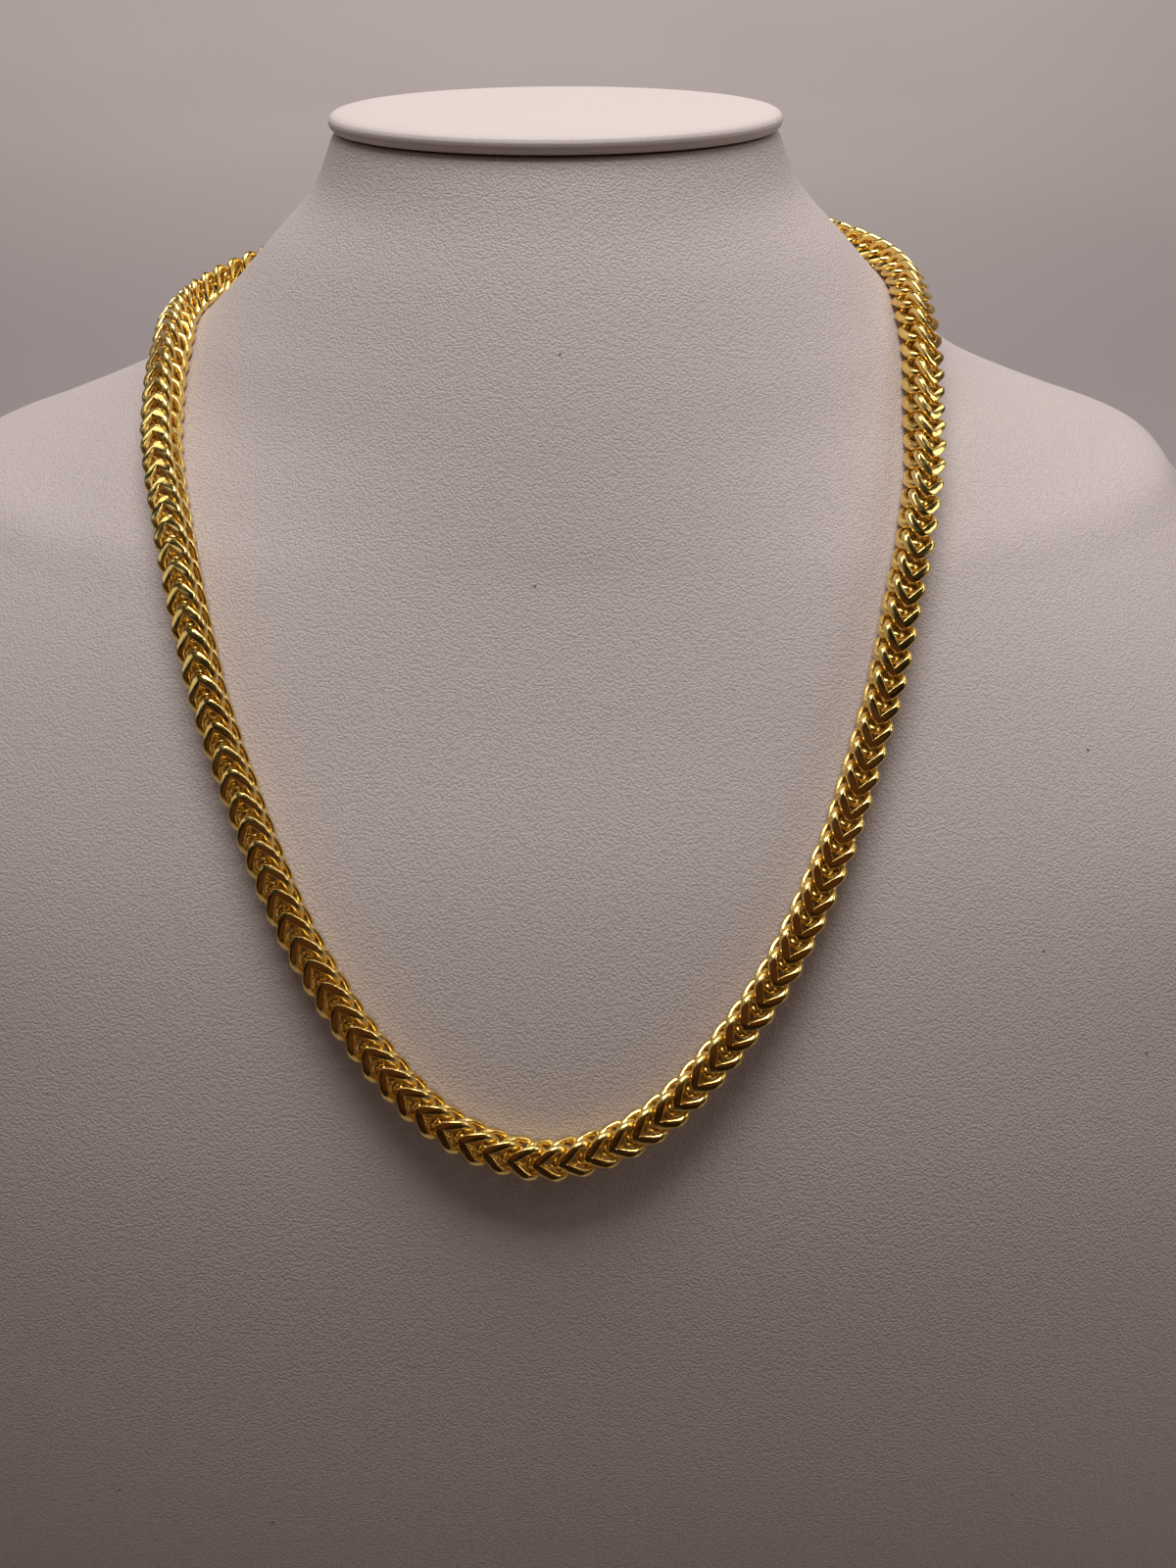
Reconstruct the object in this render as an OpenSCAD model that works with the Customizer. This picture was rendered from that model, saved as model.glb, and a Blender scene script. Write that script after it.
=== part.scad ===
// Franco chain fastened round a padded neck bust.
// Millimetres, Z up, the base on z = 0 and the chest towards -Y.

/* [Chain] */
// Length of chain that one link takes up
pitch = 4.5; // [4.3:0.1:4.5]
// Number of links in each half of the chain
half_links = 66; // [65:1:66]
// Radius of the link wire, to its corners
wire_r = 0.58; // [0.5:0.02:0.58]
// Height of the chain's middle above the bust's skin
lift = 3.35; // [3.3:0.05:4]

/* [Clasp] */
// Radius of the clasp's barrel
clasp_r = 2.9; // [2:0.1:3]

/* [Bust] */
// Flat sides round the bust and its cap
bust_sides = 32; // [24:4:36]

/* [Cap] */
// Half width of the neck cap
cap_half = 44.4; // [43:0.2:46]
// Half depth of the neck cap
cap_depth = 25.2; // [24.6:0.2:27]
// Seam between the neck and its cap
cap_gap = 0.3; // [0.3:0.1:1]

/* [Hidden] */

// Sections of the bust, seen from above at rising heights.
// Columns: height, half width, reach to the front, reach to the back, squareness
SECTIONS = [
    [0, 183, 170, 54, 3.6],
    [45, 184, 167, 56, 3.4],
    [95, 182, 153, 57, 3.2],
    [140, 171, 133, 57, 3.1],
    [175, 163, 109.5, 57, 3],
    [200, 145, 87.5, 56, 2.8],
    [214, 133.2, 75.5, 55, 2.4],
    [220, 127, 70.6, 54.4, 2.2],
    [224, 116, 67.6, 54, 2.1],
    [234, 90.5, 60, 52, 2.05],
    [248, 72, 49.6, 48, 2],
    [262, 58, 39, 41, 2],
    [272, 48.5, 31.4, 31, 2],
    [282, 43.6, 24.6, 24.6, 2],
];
HALF = 1;
FRONT = 2;
BACK = 3;
SQUARE = 4;
neck_top = SECTIONS[len(SECTIONS) - 1][0];
// The neck's axis lies this far behind the middle of the bust's depth
function reach(column) = max([for (row = SECTIONS) row[column]]);
axis_y = (reach(FRONT) - reach(BACK)) / 2;

// Heights at which the bust's skin has a ring
RING_HEIGHTS = [
    4, 22, 45, 70, 95, 118, 140, 158, 175, 188, 200, 208, 214, 218, 222, 226, 230,
    235, 241, 248, 255, 262, 267, 272, 277, 282,
];
base_round = 2.5;

// Rings of the cap, from its underside up. Columns: inset from the edge, height
CAP_RINGS = [[1.4, 0], [0.3, 0.7], [0, 1.9], [0.5, 2.9], [2.2, 3.7], [9, 4.3]];
cap_crown = 4.6;

// One side of a link, in pitches. Columns: sideways, outward, along the chain
LINK = [
    [0, 0.62, -0.52],
    [0.55, 0.55, 0.3],
    [0.15, -0.42, 0.75],
    [0.56, -0.475, -0.26],
    [0.59, -0.17, -0.79],
    [0, 0.25, -0.9],
];
wire_sides = 5;

// Distance from an end link's middle to the end of the clasp's barrel, in pitches
solder_reach = 0.09;
// Bevel at each end of the barrel
clasp_bevel = 0.6;

// Route of the chain over the skin, from behind the neck round the chest and back.
// Columns: degrees round the neck from the front, height
ROUTE = [
    [-180, 253.5], [-150, 251], [-127, 249], [-109, 246.4], [-98, 244.8], [-89, 244.2],
    [-81, 243], [-73, 238.6], [-65, 233.6], [-57, 227.9], [-49, 220.5], [-43.5, 212.9],
    [-38, 203.6], [-29, 186.3], [-21, 168.2], [-15, 155], [-9.5, 144.9], [-4, 139.6],
    [1, 139.3], [7.5, 145.3], [16, 161.4], [24, 179.6], [33, 198.7], [44, 217.8],
    [57, 231.5], [70, 242.1], [79, 248], [88, 250.4], [97, 251], [107, 251.8],
    [128, 253.6], [152, 254], [180, 253.5],
];
route_steps = 10;

// Smooth curve through one column of the section table
function span_at(h) = min(len(SECTIONS) - 2, max(0, len([for (row = SECTIONS) if (row[0] <= h) 1]) - 1));
function rise(i) = SECTIONS[i + 1][0] - SECTIONS[i][0];
function grade(i, c) = (SECTIONS[i + 1][c] - SECTIONS[i][c]) / rise(i);
function slope(i, c) =
    i == 0 ? grade(0, c) :
    i == len(SECTIONS) - 1 ? grade(i - 1, c) :
    (grade(i - 1, c) * rise(i) + grade(i, c) * rise(i - 1)) / (rise(i) + rise(i - 1));
function section(h, c) =
    let (i = span_at(h), w = rise(i), t = min(1, max(0, (h - SECTIONS[i][0]) / w)))
    SECTIONS[i][c] * (1 + 2 * t) * (1 - t) * (1 - t)
    + slope(i, c) * w * t * (1 - t) * (1 - t)
    + SECTIONS[i + 1][c] * t * t * (3 - 2 * t)
    + slope(i + 1, c) * w * t * t * (t - 1);

// Point of an oval at an angle from the front
function oval(turn, half, front, back, square) =
    let (
        deep = cos(turn) > 0 ? front : back,
        r = pow(pow(abs(sin(turn)) / half, square) + pow(abs(cos(turn)) / deep, square), -1 / square)
    )
    [r * sin(turn), -r * cos(turn)];
function skin(turn, h, inset = 0) =
    let (p = oval(turn, section(h, HALF) - inset, section(h, FRONT) - inset, section(h, BACK) - inset,
        section(h, SQUARE)))
    [p[0], p[1], h];
function unit(v) = v / norm(v);
function skin_normal(turn, h) =
    unit(cross(skin(turn + 1, h) - skin(turn - 1, h), skin(turn, h + 0.5) - skin(turn, h - 0.5)));

// The route as a smooth curve, with the distance along it
function blend(a, b, c, d, t) =
    0.5 * (2 * b + (c - a) * t + (2 * a - 5 * b + 4 * c - d) * t * t + (3 * b - a - 3 * c + d) * t * t * t);
last_stop = len(ROUTE) - 1;
function stop(i) =
    i < 0 ? ROUTE[last_stop + i] - [360, 0] :
    i > last_stop ? ROUTE[i - last_stop] + [360, 0] : ROUTE[i];
TRACK = [
    for (i = [0 : last_stop - 1], k = [0 : route_steps - 1])
        blend(stop(i - 1), stop(i), stop(i + 1), stop(i + 2), k / route_steps),
    stop(last_stop),
];
function lifted(turn, h) = skin(turn, h) + lift * skin_normal(turn, h);
TRACK_POINTS = [for (q = TRACK) lifted(q[0], q[1])];
TRACK_LENGTHS = [
    for (i = 0, run = 0; i < len(TRACK); i = i + 1,
        run = run + (i < len(TRACK) ? norm(TRACK_POINTS[i] - TRACK_POINTS[i - 1]) : 0)) run
];
loop_len = TRACK_LENGTHS[len(TRACK) - 1];
TURN_TABLE = [for (i = [0 : len(TRACK) - 1]) [TRACK_LENGTHS[i], TRACK[i][0]]];
HEIGHT_TABLE = [for (i = [0 : len(TRACK) - 1]) [TRACK_LENGTHS[i], TRACK[i][1]]];
function on_loop(s) = s < 0 ? s + loop_len : s > loop_len ? s - loop_len : s;
function chain_at(s) = let (q = on_loop(s)) lifted(lookup(q, TURN_TABLE), lookup(q, HEIGHT_TABLE));
function chain_normal(s) = let (q = on_loop(s)) skin_normal(lookup(q, TURN_TABLE), lookup(q, HEIGHT_TABLE));

// Frame of the chain at a distance along it: place, sideways, outward, along
function chain_frame(s) =
    let (
        along = unit(chain_at(s + pitch / 2) - chain_at(s - pitch / 2)),
        up = chain_normal(s),
        outward = unit(up - along * (up * along))
    )
    [chain_at(s), cross(outward, along), outward, along];
function in_frame(f, v) = f[0] + f[1] * v[0] + f[2] * v[1] + f[3] * v[2];

// The ring of one link, its rings of wire corners, and its faces
last_row = len(LINK) - 1;
RING = [
    for (i = [0 : last_row]) LINK[i] * pitch,
    for (i = [last_row - 1 : -1 : 1]) [-LINK[i][0], LINK[i][1], LINK[i][2]] * pitch,
];
ring_n = len(RING);
function wire_ring(i) =
    let (
        here = RING[i],
        dir = unit(unit(RING[(i + 1) % ring_n] - here) + unit(here - RING[(i + ring_n - 1) % ring_n])),
        away = unit([here[0], here[1], 0]),
        u = unit(away - dir * (away * dir)),
        v = cross(dir, u)
    )
    [
        for (k = [0 : wire_sides - 1])
            let (a = (k + 0.5) * 360 / wire_sides)
            here + wire_r * (u * cos(a) + v * sin(a))
    ];
LINK_POINTS = [for (i = [0 : ring_n - 1]) each wire_ring(i)];
LINK_FACES = [
    for (i = [0 : ring_n - 1], k = [0 : wire_sides - 1])
        let (
            a = i * wire_sides + k,
            b = i * wire_sides + (k + 1) % wire_sides,
            c = (i + 1) % ring_n * wire_sides + (k + 1) % wire_sides,
            d = (i + 1) % ring_n * wire_sides + k
        )
        each [[a, c, b], [a, d, c]],
];
link_n = len(LINK_POINTS);
function link_place(k) = loop_len / 2 + (k - half_links + 0.5) * pitch;

// A run of links, each a loose ring of its own
module links(first, count) {
    frames = [for (k = [first : first + count - 1]) chain_frame(link_place(k))];
    translate([0, axis_y, 0])
        polyhedron(
            points = [for (f = frames, v = LINK_POINTS) in_frame(f, v)],
            faces = [for (n = [0 : count - 1], t = LINK_FACES) t + [1, 1, 1] * n * link_n]
        );
}

// Closed skin through a stack of rings, each with the same number of points
module ring_stack(rings, top, bottom) {
    n = len(rings[0]);
    m = len(rings);
    points = [for (r = rings) each r, bottom, top];
    polyhedron(
        points = points,
        faces = [
            for (j = [0 : m - 2], i = [0 : n - 1])
                let (
                    a = j * n + i,
                    b = j * n + (i + 1) % n,
                    c = (j + 1) * n + (i + 1) % n,
                    d = (j + 1) * n + i
                )
                each [[a, c, b], [a, d, c]],
            for (i = [0 : n - 1]) [m * n, i, (i + 1) % n],
            for (i = [0 : n - 1]) [m * n + 1, (m - 1) * n + (i + 1) % n, (m - 1) * n + i],
        ]
    );
}

function turns() = [for (i = [0 : bust_sides - 1]) i * 360 / bust_sides];

module bust_form() {
    color("gainsboro")
        translate([0, axis_y, 0])
            ring_stack(
                [
                    [for (a = turns()) let (p = skin(a, 0, base_round)) [p[0], p[1], 0]],
                    for (h = RING_HEIGHTS) [for (a = turns()) skin(a, h)],
                ],
                [0, 0, neck_top],
                [0, 0, 0]
            );
}

module neck_cap() {
    color("whitesmoke")
        translate([0, axis_y, neck_top + cap_gap])
            ring_stack(
                [
                    for (r = CAP_RINGS)
                        let (half = cap_half - r[0], deep = cap_depth - r[0])
                        [for (a = turns()) let (p = oval(a, half, deep, deep, 2)) [p[0], p[1], r[1]]],
                ],
                [0, 0, cap_crown],
                [0, 0, 0]
            );
}

module chain_left() {
    color("gold") links(0, half_links);
}

module chain_right() {
    color("gold") links(half_links, half_links);
}

// The barrel and the end link soldered to each of its ends
module clasp() {
    clasp_len = loop_len - (2 * half_links + 1 + 2 * solder_reach) * pitch;
    f = chain_frame(0);
    barrel = [
        [0, 0],
        [clasp_r - clasp_bevel, 0],
        [clasp_r, clasp_bevel],
        [clasp_r, clasp_len - clasp_bevel],
        [clasp_r - clasp_bevel, clasp_len],
        [0, clasp_len],
    ];
    color("gold") {
        links(-1, 1);
        links(2 * half_links, 1);
        translate([0, axis_y, 0])
            multmatrix([
                [f[1][0], f[2][0], f[3][0], f[0][0]],
                [f[1][1], f[2][1], f[3][1], f[0][1]],
                [f[1][2], f[2][2], f[3][2], f[0][2]],
                [0, 0, 0, 1],
            ])
                translate([0, 0, -clasp_len / 2]) rotate_extrude($fn = 32) polygon(barrel);
    }
}

bust_form();
neck_cap();
chain_left();
chain_right();
clasp();
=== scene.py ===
"""Franco chain fastened round a leatherette neck bust: looks, materials, light and camera."""
import math

import bmesh
import bpy
import numpy as np
from mathutils import Euler, Matrix, Vector


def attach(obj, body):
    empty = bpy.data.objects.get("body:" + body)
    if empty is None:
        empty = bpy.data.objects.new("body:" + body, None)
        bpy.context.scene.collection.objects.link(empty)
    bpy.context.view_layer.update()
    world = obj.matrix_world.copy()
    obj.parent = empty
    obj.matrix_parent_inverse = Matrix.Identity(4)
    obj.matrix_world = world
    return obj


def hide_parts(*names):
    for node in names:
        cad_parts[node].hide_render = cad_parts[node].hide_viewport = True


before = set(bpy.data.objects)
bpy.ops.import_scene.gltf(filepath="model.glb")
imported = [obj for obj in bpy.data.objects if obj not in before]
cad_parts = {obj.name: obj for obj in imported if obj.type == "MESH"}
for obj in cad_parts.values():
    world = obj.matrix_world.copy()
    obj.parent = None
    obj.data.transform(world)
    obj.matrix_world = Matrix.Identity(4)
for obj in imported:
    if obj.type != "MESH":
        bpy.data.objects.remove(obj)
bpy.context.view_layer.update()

MM = 0.001
rng = np.random.default_rng(7)

# Sections of the bust, as in the part's source, in millimetres.
# Columns: height, half width, reach to the front, reach to the back, squareness
SECTIONS = np.array([
    [0, 183, 170, 54, 3.6],
    [45, 184, 167, 56, 3.4],
    [95, 182, 153, 57, 3.2],
    [140, 171, 133, 57, 3.1],
    [175, 163, 109.5, 57, 3],
    [200, 145, 87.5, 56, 2.8],
    [214, 133.2, 75.5, 55, 2.4],
    [220, 127, 70.6, 54.4, 2.2],
    [224, 116, 67.6, 54, 2.1],
    [234, 90.5, 60, 52, 2.05],
    [248, 72, 49.6, 48, 2],
    [262, 58, 39, 41, 2],
    [272, 48.5, 31.4, 31, 2],
    [282, 43.6, 24.6, 24.6, 2],
])
HALF, FRONT, BACK, SQUARE = 1, 2, 3, 4
NECK_TOP = SECTIONS[-1][0]
AXIS_Y = (SECTIONS[:, FRONT].max() - SECTIONS[:, BACK].max()) / 2

# Route of the chain over the skin. Columns: degrees round the neck from the front, height
ROUTE = np.array([
    [-180, 253.5], [-150, 251], [-127, 249], [-109, 246.4], [-98, 244.8], [-89, 244.2],
    [-81, 243], [-73, 238.6], [-65, 233.6], [-57, 227.9], [-49, 220.5], [-43.5, 212.9],
    [-38, 203.6], [-29, 186.3], [-21, 168.2], [-15, 155], [-9.5, 144.9], [-4, 139.6],
    [1, 139.3], [7.5, 145.3], [16, 161.4], [24, 179.6], [33, 198.7], [44, 217.8],
    [57, 231.5], [70, 242.1], [79, 248], [88, 250.4], [97, 251], [107, 251.8],
    [128, 253.6], [152, 254], [180, 253.5],
], float)
ROUTE_STEPS = 10
# Height of the chain's middle over the skin, length that a link takes up, and links in each half
LIFT = 3.35
PITCH = 4.5
HALF_LINKS = 66

# Cap over the neck: its half width, half depth and the seam under it
CAP_HALF, CAP_DEPTH, CAP_GAP = 44.4, 25.2, 0.3


# Bust skin

def section(h, column):
    """One column of the section table at any height, on a smooth curve."""
    x, y = SECTIONS[:, 0], SECTIONS[:, column]
    step = np.diff(x)
    grade = np.diff(y) / step
    slope = np.empty_like(y)
    slope[1:-1] = (grade[:-1] * step[1:] + grade[1:] * step[:-1]) / (step[1:] + step[:-1])
    slope[0], slope[-1] = grade[0], grade[-1]
    h = np.clip(h, x[0], x[-1])
    i = np.clip(np.searchsorted(x, h, side="right") - 1, 0, len(x) - 2)
    w = step[i]
    t = (h - x[i]) / w
    start = y[i] * (1 + 2 * t) * (1 - t) ** 2 + slope[i] * w * t * (1 - t) ** 2
    return start + y[i + 1] * t * t * (3 - 2 * t) + slope[i + 1] * w * t * t * (t - 1)


def oval(turn, half, front, back, square):
    """Point of an oval at an angle from the front, in degrees."""
    a = np.radians(turn)
    deep = np.where(np.cos(a) > 0, front, back)
    r = (np.abs(np.sin(a) / half) ** square + np.abs(np.cos(a) / deep) ** square) ** (-1 / square)
    return r * np.sin(a), -r * np.cos(a)


def skin(turn, h, inset=0.0):
    reach = [section(h, c) - inset for c in (HALF, FRONT, BACK)]
    x, y = oval(turn, *reach, section(h, SQUARE))
    return np.stack([x, y, h + 0 * x], -1)


def skin_normal(turn, h):
    n = np.cross(skin(turn + 1, h) - skin(turn - 1, h), skin(turn, h + 0.5) - skin(turn, h - 0.5))
    return n / np.linalg.norm(n, axis=-1, keepdims=True)


def lifted(turn, h, lift=LIFT):
    return skin(turn, h) + lift * skin_normal(turn, h)


# Meshes

def to_scene(points):
    """Millimetres from the neck's axis to metres in the shared frame."""
    return (np.asarray(points, float) + [0, AXIS_Y, 0]) * MM


def add_mesh(name, points, faces, materials, face_material=None, smooth=None):
    mesh = bpy.data.meshes.new(name)
    mesh.from_pydata([tuple(p) for p in points], [], [tuple(f) for f in faces])
    for m in materials:
        mesh.materials.append(m)
    if face_material is not None:
        mesh.polygons.foreach_set("material_index", np.asarray(face_material, np.int32))
    flags = np.ones(len(faces), bool) if smooth is None else np.asarray(smooth, bool)
    mesh.polygons.foreach_set("use_smooth", flags)
    mesh.update()
    obj = bpy.data.objects.new(name, mesh)
    bpy.context.scene.collection.objects.link(obj)
    return obj


def ring_stack(rings, bottom, top):
    """Closed skin through rings of equal length, from the lowest up."""
    n, m = len(rings[0]), len(rings)
    points = np.vstack([*rings, [bottom, top]])
    faces = []
    for j in range(m - 1):
        for i in range(n):
            k = (i + 1) % n
            faces.append((j * n + i, j * n + k, (j + 1) * n + k, (j + 1) * n + i))
    for i in range(n):
        k = (i + 1) % n
        faces.append((m * n, k, i))
        faces.append((m * n + 1, (m - 1) * n + i, (m - 1) * n + k))
    return points, faces


def finish_piece(obj, node):
    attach(obj, "root")
    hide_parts(node)
    return obj


# Materials

def new_material(name):
    mat = bpy.data.materials.new(name)
    mat.use_nodes = True
    tree = mat.node_tree
    tree.nodes.clear()
    out = tree.nodes.new("ShaderNodeOutputMaterial")
    shader = tree.nodes.new("ShaderNodeBsdfPrincipled")
    tree.links.new(shader.outputs["BSDF"], out.inputs["Surface"])
    return mat, tree, shader


def node(tree, kind, **values):
    made = tree.nodes.new(kind)
    for key, value in values.items():
        setattr(made, key, value)
    return made


def noise(tree, where, scale, detail=3.0, rough=0.5):
    made = node(tree, "ShaderNodeTexNoise")
    made.inputs["Scale"].default_value = scale
    made.inputs["Detail"].default_value = detail
    made.inputs["Roughness"].default_value = rough
    tree.links.new(where, made.inputs["Vector"])
    return made.outputs["Fac"]


def remap(tree, value, low, high, from_low=0.0, from_high=1.0):
    made = node(tree, "ShaderNodeMapRange")
    tree.links.new(value, made.inputs["Value"])
    ends = {"From Min": from_low, "From Max": from_high, "To Min": low, "To Max": high}
    for key, number in ends.items():
        made.inputs[key].default_value = number
    return made.outputs["Result"]


def mix_colours(tree, factor, a, b):
    made = node(tree, "ShaderNodeMix", data_type="RGBA")
    tree.links.new(factor, made.inputs["Factor"])
    for socket, value in (("A", a), ("B", b)):
        target = next(s for s in made.inputs if s.name == socket and s.type == "RGBA")
        if isinstance(value, tuple):
            target.default_value = (*value, 1.0)
        else:
            tree.links.new(value, target)
    return next(s for s in made.outputs if s.type == "RGBA")


def add_bump(tree, height, strength, distance, after=None):
    made = node(tree, "ShaderNodeBump")
    made.inputs["Strength"].default_value = strength
    made.inputs["Distance"].default_value = distance
    tree.links.new(height, made.inputs["Height"])
    if after is not None:
        tree.links.new(after, made.inputs["Normal"])
    return made.outputs["Normal"]


def leatherette(name, colour, crease_shade_colour, cell, depth, specks):
    """Pale pebbled leatherette. cell is a pebble's width, and depth the height of its relief; the
    crease colour is painted shade for the creases.
    """
    mat, tree, shader = new_material(name)
    where = node(tree, "ShaderNodeTexCoord").outputs["Object"]
    flat = node(tree, "ShaderNodeMapping")
    flat.inputs["Scale"].default_value = (1.0, 1.0, 1.1)
    tree.links.new(where, flat.inputs["Vector"])
    # the pebbles follow a slow wander, so they don't lie in rows
    wander = node(tree, "ShaderNodeTexNoise")
    wander.inputs["Scale"].default_value = 0.3 / cell
    wander.inputs["Detail"].default_value = 1.0
    tree.links.new(flat.outputs["Vector"], wander.inputs["Vector"])
    shift = node(tree, "ShaderNodeVectorMath", operation="MULTIPLY_ADD")
    shift.inputs[1].default_value = (cell * 1.4,) * 3
    tree.links.new(wander.outputs["Color"], shift.inputs[0])
    tree.links.new(flat.outputs["Vector"], shift.inputs[2])
    pebble = node(tree, "ShaderNodeTexVoronoi", feature="F1")
    pebble.inputs["Scale"].default_value = 1.0 / cell
    tree.links.new(shift.outputs["Vector"], pebble.inputs["Vector"])
    dome = node(tree, "ShaderNodeMath", operation="POWER")
    tree.links.new(pebble.outputs["Distance"], dome.inputs[0])
    dome.inputs[1].default_value = 2.0
    fine = noise(tree, flat.outputs["Vector"], 1.6 / cell, 2.0)
    height = node(tree, "ShaderNodeMath", operation="MULTIPLY_ADD")
    tree.links.new(fine, height.inputs[0])
    height.inputs[1].default_value = 0.6
    tree.links.new(remap(tree, dome.outputs["Value"], 1.0, 0.0, 0.0, 0.5), height.inputs[2])
    tree.links.new(add_bump(tree, height.outputs["Value"], 1.0, depth), shader.inputs["Normal"])
    # the creases get painted shade, a little darker, and the whole skin varies slowly
    relief = height.outputs["Value"]
    tone = mix_colours(tree, remap(tree, relief, 0.0, 1.0, 0.3, 0.9), crease_shade_colour, colour)
    drift = remap(tree, noise(tree, where, 14.0, 1.0), 0.0, 0.5, 0.35, 0.75)
    tone = mix_colours(tree, drift, tone, tuple(c * 0.94 for c in colour))
    if specks:
        dust = node(tree, "ShaderNodeTexVoronoi", feature="F1")
        dust.inputs["Scale"].default_value = 75.0
        tree.links.new(where, dust.inputs["Vector"])
        spot = remap(tree, dust.outputs["Distance"], 0.75, 0.0, 0.018, 0.03)
        tone = mix_colours(tree, spot, tone, (0.12, 0.09, 0.08))
    tree.links.new(tone, shader.inputs["Base Color"])
    tree.links.new(remap(tree, relief, 0.62, 0.46, 0.3, 1.3), shader.inputs["Roughness"])
    shader.inputs["Specular IOR Level"].default_value = 0.4
    return mat


def gold(name, rough_low, rough_high, scratch):
    """Polished yellow gold. scratch is the height of its fine polishing lines."""
    mat, tree, shader = new_material(name)
    where = node(tree, "ShaderNodeTexCoord").outputs["Object"]
    shader.inputs["Metallic"].default_value = 1.0
    patch = noise(tree, where, 420.0, 3.0)
    tree.links.new(remap(tree, patch, rough_low, rough_high, 0.3, 0.7), shader.inputs["Roughness"])
    cloud = remap(tree, noise(tree, where, 260.0, 2.0), 0.0, 1.0, 0.3, 0.7)
    tone = mix_colours(tree, cloud, (0.91, 0.64, 0.19), (0.95, 0.69, 0.23))
    tree.links.new(tone, shader.inputs["Base Color"])
    lines = node(tree, "ShaderNodeMapping")
    lines.inputs["Rotation"].default_value = (0.4, 0.7, 0.3)
    lines.inputs["Scale"].default_value = (1.0, 9.0, 1.0)
    tree.links.new(where, lines.inputs["Vector"])
    fine = noise(tree, lines.outputs["Vector"], 900.0, 3.0)
    soft = noise(tree, where, 700.0, 2.0)
    normal = add_bump(tree, soft, 0.35, 0.00006)
    normal = add_bump(tree, fine, scratch, 0.00002, normal)
    tree.links.new(normal, shader.inputs["Normal"])
    return mat


def plain(name, near_colour, far_colour, reach, front_shade_colour, roughness):
    """Matt surface with a faint grain, paler out to the given reach, and painted dark far in front
    as shade for an unlit room.
    """
    mat, tree, shader = new_material(name)
    where = node(tree, "ShaderNodeTexCoord").outputs["Object"]
    away = node(tree, "ShaderNodeVectorMath", operation="LENGTH")
    tree.links.new(where, away.inputs[0])
    far = remap(tree, away.outputs["Value"], 0.0, 1.0, 0.3, reach)
    base = mix_colours(tree, far, near_colour, far_colour)
    split = node(tree, "ShaderNodeSeparateXYZ")
    tree.links.new(where, split.inputs["Vector"])
    # far in front the colour turns to painted shade, a dark stand-in for an unlit room
    near = remap(tree, split.outputs["Y"], 0.0, 1.0, -1.6, -0.7)
    base = mix_colours(tree, near, front_shade_colour, base)
    grain = remap(tree, noise(tree, where, 3.0, 1.0), 0.0, 0.08, 0.3, 0.7)
    tone = mix_colours(tree, grain, base, tuple(c * 0.8 for c in near_colour))
    tree.links.new(tone, shader.inputs["Base Color"])
    shader.inputs["Roughness"].default_value = roughness
    return mat


# the second colour of each leatherette is painted shade for its creases
LEATHER = leatherette("leatherette", (0.66, 0.565, 0.54), (0.57, 0.485, 0.46),
                      0.5 * MM, 0.065 * MM, True)
CAP_LEATHER = leatherette("cap_leatherette", (0.74, 0.64, 0.61), (0.70, 0.60, 0.57),
                          0.45 * MM, 0.012 * MM, False)
GOLD_WIRE = gold("gold_wire", 0.2, 0.32, 0.25)
GOLD_CUT = gold("gold_cut", 0.12, 0.2, 0.18)


# Bust and cap

BUST_SIDES = 240


def bust_leather():
    """The padded form's skin, with a softly rounded foot and neck edge."""
    turns = np.arange(BUST_SIDES) * 360.0 / BUST_SIDES
    foot, brim = 2.5, 0.9
    rings = []
    for a in np.linspace(0, 90, 7):
        h = foot * (1 - math.cos(math.radians(a)))
        rings.append(skin(turns, h, foot * (1 - math.sin(math.radians(a)))))
    for h in [*np.arange(4.5, 200, 2.2), *np.arange(200, NECK_TOP - brim, 1.0)]:
        rings.append(skin(turns, h))
    for a in np.linspace(0, 90, 6):
        h = NECK_TOP - brim * (1 - math.sin(math.radians(a)))
        rings.append(skin(turns, h, brim * (1 - math.cos(math.radians(a)))))
    points, faces = ring_stack(rings, (0, 0, 0), (0, 0, NECK_TOP))
    obj = add_mesh("bust_leather", to_scene(points), faces, [LEATHER])
    return finish_piece(obj, "bust_form")


# Outline of the cap's edge. Columns: inset, height
CAP_EDGE = [
    [3.0, 0.0], [1.6, 0.05], [0.75, 0.35], [0.25, 0.95], [0.0, 1.7], [0.12, 2.4],
    [0.55, 3.0], [1.3, 3.42], [2.4, 3.7], [4.2, 3.92], [7.0, 4.12], [11.0, 4.32],
    [16.0, 4.46], [21.0, 4.54],
]
CAP_CROWN = 4.58


def cap_leather():
    """The oval padded cap, tight at its rolled edge and slightly crowned."""
    turns = np.arange(BUST_SIDES) * 360.0 / BUST_SIDES
    fine = []
    for (a, b) in zip(CAP_EDGE[:-1], CAP_EDGE[1:]):
        for t in np.linspace(0, 1, 3, endpoint=False):
            fine.append([a[0] + (b[0] - a[0]) * t, a[1] + (b[1] - a[1]) * t])
    fine.append(CAP_EDGE[-1])
    rings = []
    for inset, h in fine:
        share = CAP_DEPTH / CAP_HALF if inset > 4 else 1.0
        depth = CAP_DEPTH - 4 - (inset - 4) * share if inset > 4 else CAP_DEPTH - inset
        x, y = oval(turns, CAP_HALF - inset, depth, depth, 2)
        rings.append(np.stack([x, y, np.full_like(x, NECK_TOP + CAP_GAP + h)], -1))
    base = NECK_TOP + CAP_GAP
    points, faces = ring_stack(rings, (0, 0, base), (0, 0, base + CAP_CROWN))
    obj = add_mesh("cap_leather", to_scene(points), faces, [CAP_LEATHER])
    return finish_piece(obj, "neck_cap")


# Chain

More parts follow.
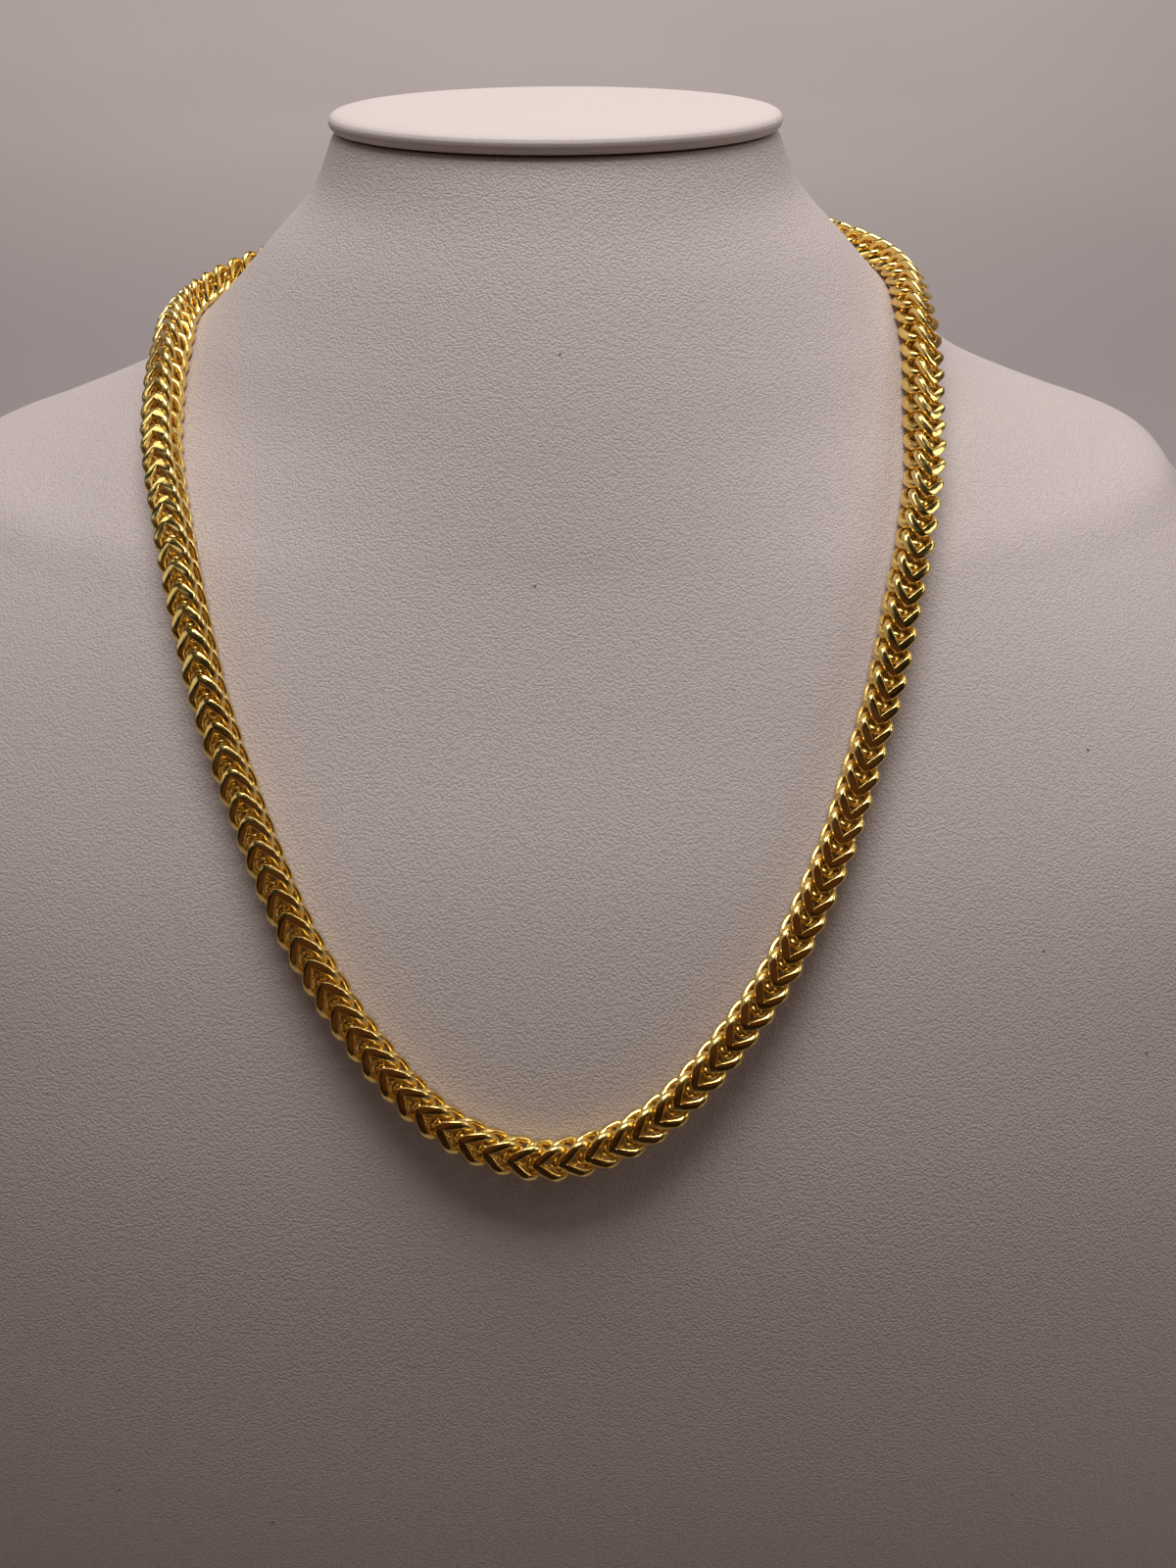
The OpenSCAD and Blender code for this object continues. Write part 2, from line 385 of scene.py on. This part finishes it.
def catmull(points, steps, closed):
    """Smooth curve through points, with the given number of steps from each to the next."""
    n = len(points)
    out = []
    for i in range(n if closed else n - 1):
        if closed:
            a, b, c, d = (points[(i + k) % n] for k in (-1, 0, 1, 2))
        else:
            b, c = points[i], points[i + 1]
            a = points[i - 1] if i else points[-2] - [360, 0]
            d = points[i + 2] if i + 2 < n else points[1] + [360, 0]
        for k in range(steps):
            t = k / steps
            out.append(0.5 * (2 * b + (c - a) * t + (2 * a - 5 * b + 4 * c - d) * t ** 2
                              + (3 * b - a - 3 * c + d) * t ** 3))
    if not closed:
        out.append(points[-1])
    return np.array(out)


TRACK = catmull(ROUTE, ROUTE_STEPS, False)
TRACK_POINTS = lifted(TRACK[:, 0], TRACK[:, 1])
TRACK_LENGTHS = np.r_[0, np.cumsum(np.linalg.norm(np.diff(TRACK_POINTS, axis=0), axis=1))]
LOOP = TRACK_LENGTHS[-1]


def chain_at(s):
    s = s % LOOP
    turn = np.interp(s, TRACK_LENGTHS, TRACK[:, 0])
    h = np.interp(s, TRACK_LENGTHS, TRACK[:, 1])
    return lifted(turn, h), skin_normal(turn, h)


def unit(v):
    return v / np.linalg.norm(v)


def chain_frame(s):
    """Place of the chain at a distance along it, and its sideways, outward and along directions."""
    place, up = chain_at(s)
    along = unit(chain_at(s + PITCH / 2)[0] - chain_at(s - PITCH / 2)[0])
    outward = unit(up - along * (up @ along))
    return place, np.array([np.cross(outward, along), outward, along])


def link_place(k):
    return LOOP / 2 + (k - HALF_LINKS + 0.5) * PITCH


# Middle of one side of a link's wire, in pitches. Columns: sideways, outward, along the chain
LINK = np.array([
    [0, 0.58, -0.56],
    [0.30, 0.58, -0.22],
    [0.53, 0.50, 0.20],
    [0.46, 0.24, 0.54],
    [0.23, -0.15, 0.68],
    [0.19, -0.43, 0.59],
    [0.26, -0.55, 0.30],
    [0.53, -0.51, -0.08],
    [0.59, -0.33, -0.53],
    [0.40, -0.04, -0.84],
    [0.12, 0.21, -0.85],
    [0, 0.26, -0.90],
])
# Radius of the wire, distances from the chain's middle to its flat cuts, and the cuts' bevel
WIRE = 0.185
WIRE_SIDES = 14
WIRE_STEPS = 2
CUT_OUT = 0.685
CUT_IN = 0.665
CUT_SIDE = 0.69
CUT_EDGE = 0.016
# Chance turn of each link, in radians, and the angle over which an edge shows sharp
LINK_TILT = 0.012
SHARP_ANGLE = math.radians(34)


def wire_tube():
    """The link's wire as a closed tube, in pitches: rings of points."""
    other = LINK[1:-1][::-1] * [-1, 1, 1]
    middle = catmull(np.vstack([LINK, other]), WIRE_STEPS, True)
    n = len(middle)
    rings = []
    for i in range(n):
        here = middle[i]
        forward = unit(middle[(i + 1) % n] - middle[i - 1])
        away = unit(np.array([here[0], here[1], 0.0]))
        u = unit(away - forward * (away @ forward))
        v = np.cross(forward, u)
        a = (np.arange(WIRE_SIDES) + 0.5) * 2 * math.pi / WIRE_SIDES
        rings.append(here + WIRE * (np.outer(np.cos(a), u) + np.outer(np.sin(a), v)))
    return rings


def link_mesh():
    """One link: round wire with its outer faces cut flat, and the cuts' edges softened."""
    rings = wire_tube()
    n = len(rings)
    bm = bmesh.new()
    verts = [[bm.verts.new(p) for p in ring] for ring in rings]
    for i in range(n):
        for k in range(WIRE_SIDES):
            j, m = (i + 1) % n, (k + 1) % WIRE_SIDES
            bm.faces.new((verts[i][k], verts[i][m], verts[j][m], verts[j][k]))
    bmesh.ops.recalc_face_normals(bm, faces=bm.faces[:])
    layer = bm.faces.layers.int.new("cut")
    for direction, reach in (((0, 1, 0), CUT_OUT), ((0, -1, 0), CUT_IN),
                             ((1, 0, 0), CUT_SIDE), ((-1, 0, 0), CUT_SIDE)):
        direction = Vector(direction)
        everything = bm.verts[:] + bm.edges[:] + bm.faces[:]
        done = bmesh.ops.bisect_plane(bm, geom=everything, dist=1e-6, plane_co=direction * reach,
                                      plane_no=direction, clear_outer=True)
        edges = [e for e in done["geom_cut"] if isinstance(e, bmesh.types.BMEdge)]
        filled = bmesh.ops.holes_fill(bm, edges=edges, sides=0)
        for f in filled["faces"]:
            f[layer] = 1
    bmesh.ops.recalc_face_normals(bm, faces=bm.faces[:])
    rim = [e for e in bm.edges
           if len(e.link_faces) == 2 and e.link_faces[0][layer] != e.link_faces[1][layer]]
    bmesh.ops.bevel(bm, geom=rim, offset=CUT_EDGE, segments=1, affect="EDGES", clamp_overlap=True)
    bm.normal_update()
    # a face is a cut where it lies in one of the cutting planes
    points = np.array([v.co[:] for v in bm.verts])
    bm.verts.index_update()
    faces = [[v.index for v in f.verts] for f in bm.faces]
    flat = [abs(f.normal[0]) > 0.999 or abs(f.normal[1]) > 0.999 for f in bm.faces]
    wide = [len(f.verts) > 6 for f in bm.faces]
    bm.free()
    return points, faces, [a and b for a, b in zip(flat, wide)]


LINK_POINTS, LINK_FACES, LINK_CUTS = link_mesh()


def chain_run(name, first, count):
    """A run of links along the route, each turned a little as it lies."""
    points, faces, cuts = [], [], []
    for k in range(first, first + count):
        place, axes = chain_frame(link_place(k))
        tilt = Euler(rng.normal(0, LINK_TILT, 3)).to_matrix()
        local = (LINK_POINTS * PITCH) @ np.array(tilt).T
        offset = len(points) * len(LINK_POINTS)
        points.append(place + local @ axes)
        faces += [[i + offset for i in f] for f in LINK_FACES]
        cuts += LINK_CUTS
    return add_mesh(name, to_scene(np.vstack(points)), faces, [GOLD_WIRE, GOLD_CUT],
                    np.array(cuts, np.int32), ~np.array(cuts, bool))


def chain(name, node_name, first):
    obj = chain_run(name, first, HALF_LINKS)
    obj.data.set_sharp_from_angle(angle=SHARP_ANGLE)
    return finish_piece(obj, node_name)


# Distance from an end link's middle to the end of the clasp's barrel, in pitches
SOLDER_REACH = 0.09
CLASP_SIDES = 40
# Outline of the barrel. Columns: radius, distance along the barrel from one end
CLASP_EDGE = [
    [0.0, 0.0], [1.7, 0.0], [2.25, 0.12], [2.6, 0.4], [2.8, 0.85], [2.8, 1.5],
    [2.45, 1.7], [2.45, 2.0], [2.8, 2.2], [2.9, 2.6],
]


def clasp_barrel():
    """The plain barrel behind the neck, with the end link soldered to each of its ends."""
    length = LOOP - (2 * HALF_LINKS + 1 + 2 * SOLDER_REACH) * PITCH
    outline = CLASP_EDGE + [[r, length - t] for r, t in reversed(CLASP_EDGE)]
    place, axes = chain_frame(0.0)
    a = np.arange(CLASP_SIDES) * 2 * math.pi / CLASP_SIDES
    rings = []
    for r, t in outline[1:-1]:
        local = np.stack([r * np.cos(a), r * np.sin(a), np.full_like(a, t - length / 2)], -1)
        rings.append(place + local @ axes)
    ends = [place + np.array([0, 0, t]) @ axes for t in (-length / 2, length / 2)]
    points, faces = ring_stack(rings, ends[0], ends[1])
    parts, start = [points], len(points)
    cuts = [False] * len(faces)
    for k in (-1, 2 * HALF_LINKS):
        spot, turned = chain_frame(link_place(k))
        parts.append(spot + (LINK_POINTS * PITCH) @ turned)
        faces += [[i + start for i in f] for f in LINK_FACES]
        cuts += LINK_CUTS
        start += len(LINK_POINTS)
    obj = add_mesh("clasp_barrel", to_scene(np.vstack(parts)), faces, [GOLD_WIRE, GOLD_CUT],
                   np.array(cuts, np.int32), ~np.array(cuts, bool))
    obj.data.set_sharp_from_angle(angle=SHARP_ANGLE)
    return finish_piece(obj, "clasp")


bust_leather()
cap_leather()
chain("chain_left_links", "chain_left", 0)
chain("chain_right_links", "chain_right", HALF_LINKS)
clasp_barrel()


# Floor and backdrop

def stage():
    """A wide pale floor that turns up all round into a plain wall."""
    reach, bend, tall, sides = 2.4, 0.7, 1.2, 96
    profile = [(r, 0.0) for r in (0.4, 0.8, 1.2)]
    profile += [(reach - bend + bend * math.sin(a), bend - bend * math.cos(a))
                for a in np.linspace(0, math.pi / 2, 16)]
    profile.append((reach, tall))
    turns = np.arange(sides) * 2 * math.pi / sides
    points = [(0.0, 0.0, 0.0)]
    points += [(r * math.sin(a), r * math.cos(a), z) for r, z in profile for a in turns]
    faces = [(0, 1 + (i + 1) % sides, 1 + i) for i in range(sides)]
    for j in range(len(profile) - 1):
        for i in range(sides):
            a, b = 1 + j * sides + i, 1 + j * sides + (i + 1) % sides
            faces.append((a, b, b + sides, a + sides))
    # the dark brown far in front is painted shade, standing in for an unlit room that the gold
    # reflects
    paint = plain("backdrop", (0.42, 0.37, 0.36), (0.80, 0.70, 0.68), 2.1, (0.10, 0.055, 0.035),
                  0.8)
    obj = add_mesh("floor", points, faces, [paint])


stage()


# Light

def softbox(name, place, target, size, power, colour):
    data = bpy.data.lights.new(name, "AREA")
    data.shape = "RECTANGLE"
    data.size, data.size_y = size
    data.energy = power
    data.color = colour
    obj = bpy.data.objects.new(name, data)
    obj.location = place
    obj.rotation_euler = (Vector(target) - Vector(place)).to_track_quat("-Z", "Y").to_euler()
    obj.visible_camera = False
    bpy.context.scene.collection.objects.link(obj)


TONE = (1.0, 0.98, 0.97)
AIM = (0, 0, 0.22)
softbox("back_left", (-0.50, 0.42, 0.75), AIM, (0.30, 0.30), 0.47, TONE)
softbox("back_right", (0.50, 0.42, 0.75), AIM, (0.30, 0.30), 0.72, TONE)
softbox("top", (0.0, 0.08, 1.05), AIM, (0.55, 0.40), 6.4, TONE)
softbox("left", (-0.65, -0.10, 0.75), AIM, (0.35, 0.35), 0.25, TONE)
softbox("right", (0.70, 0.0, 0.68), AIM, (0.35, 0.35), 0.9, TONE)
softbox("front", (0.0, -0.35, 1.10), AIM, (0.30, 0.30), 0.15, TONE)
softbox("room", (0.0, -1.10, 1.00), AIM, (1.60, 1.00), 0.27, (1.0, 0.36, 0.17))
softbox("behind", (0.0, 1.15, 1.15), (0, 2.4, 0.1), (1.60, 0.40), 10.6, TONE)

world = bpy.data.worlds.new("studio")
world.use_nodes = True
sky = world.node_tree.nodes["Background"]
sky.inputs["Color"].default_value = (0.62, 0.54, 0.52, 1.0)
sky.inputs["Strength"].default_value = 0.01
bpy.context.scene.world = world


# Camera, at the photograph's place

FOCAL_PX = 1600.0
IMAGE_LONG_PX = 1600.0
CAMERA_PLACE = (2.4, -326.9, 347.1)
CAMERA_PITCH, CAMERA_YAW, CAMERA_ROLL = 33.9, 0.6, -0.2

lens = bpy.data.cameras.new("photo_camera")
lens.sensor_width = 36.0
lens.lens = 36.0 * FOCAL_PX / IMAGE_LONG_PX
lens.clip_start = 0.01
camera = bpy.data.objects.new("photo_camera", lens)
camera.location = to_scene([CAMERA_PLACE])[0]
pitch, yaw, roll = (math.radians(a) for a in (CAMERA_PITCH, CAMERA_YAW, CAMERA_ROLL))
forward = np.array([math.sin(yaw) * math.cos(pitch), math.cos(yaw) * math.cos(pitch),
                    -math.sin(pitch)])
right = np.array([math.cos(yaw), -math.sin(yaw), 0.0])
above = np.cross(right, forward)
right, above = (right * math.cos(roll) + above * math.sin(roll),
                above * math.cos(roll) - right * math.sin(roll))
turned = np.array([right, above, -forward]).T
camera.rotation_mode = "QUATERNION"
camera.rotation_quaternion = Matrix([tuple(r) for r in turned]).to_quaternion()
bpy.context.scene.collection.objects.link(camera)
bpy.context.scene.camera = camera
bpy.context.scene.view_settings.view_transform = "Standard"
